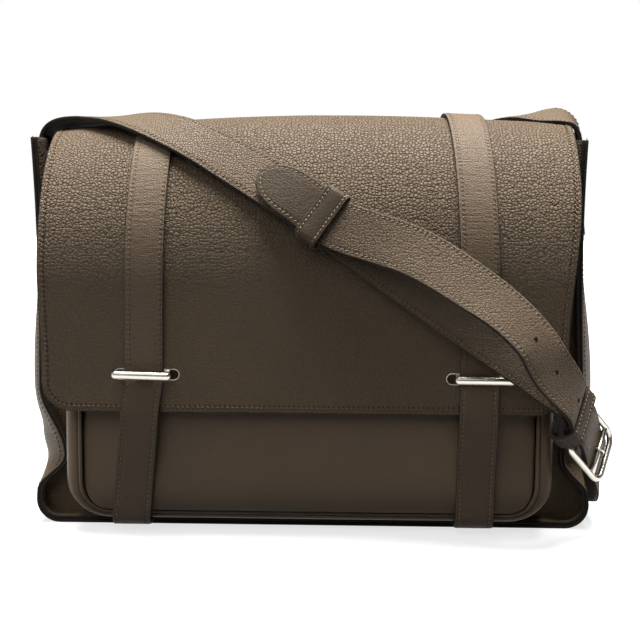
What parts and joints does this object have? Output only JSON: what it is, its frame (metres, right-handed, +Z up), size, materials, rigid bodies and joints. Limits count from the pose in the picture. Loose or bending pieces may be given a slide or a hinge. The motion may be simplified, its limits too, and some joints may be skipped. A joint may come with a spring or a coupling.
{
  "type": "leather shoulder bag",
  "caption": "Soft leather shoulder bag with a full flap, a box pocket in front, tuck straps held behind toggle bars, and a buckled shoulder strap laid across the flap",
  "frame": {"origin": "on the floor at the middle of the base", "axes": "+X to the right as seen from the front, +Y from the front to the back, +Z up"},
  "size_m": [0.3721, 0.1843, 0.2681],
  "materials": {
    "grain_leather": "pebbled full grain, semi-matt, dark taupe brown",
    "smooth_leather": "smooth grain with a soft sheen, dark taupe brown",
    "strap_leather": "fine grain, stitched, with dark painted edges",
    "nickel": "polished pale nickel plating"
  },
  "bodies": {
    "root": {"gusset": "grain_leather", "front_panel": "grain_leather", "back_panel": "grain_leather", "pocket_gusset": "smooth_leather", "pocket_piping": "smooth_leather", "pocket_front": "smooth_leather", "flap": "grain_leather", "slot_ring_left": "nickel", "flap_strap_left": "strap_leather", "tuck_strap_left": "strap_leather", "toggle_left": "nickel", "slot_ring_right": "nickel", "flap_strap_right": "strap_leather", "tuck_strap_right": "strap_leather", "toggle_right": "nickel", "strap_buckle_side": "strap_leather", "strap_tip_side": "strap_leather", "keeper_fixed": "strap_leather", "keeper_sliding": "strap_leather", "buckle_frame": "nickel", "buckle_prong": "nickel"}
  },
  "joints": []
}
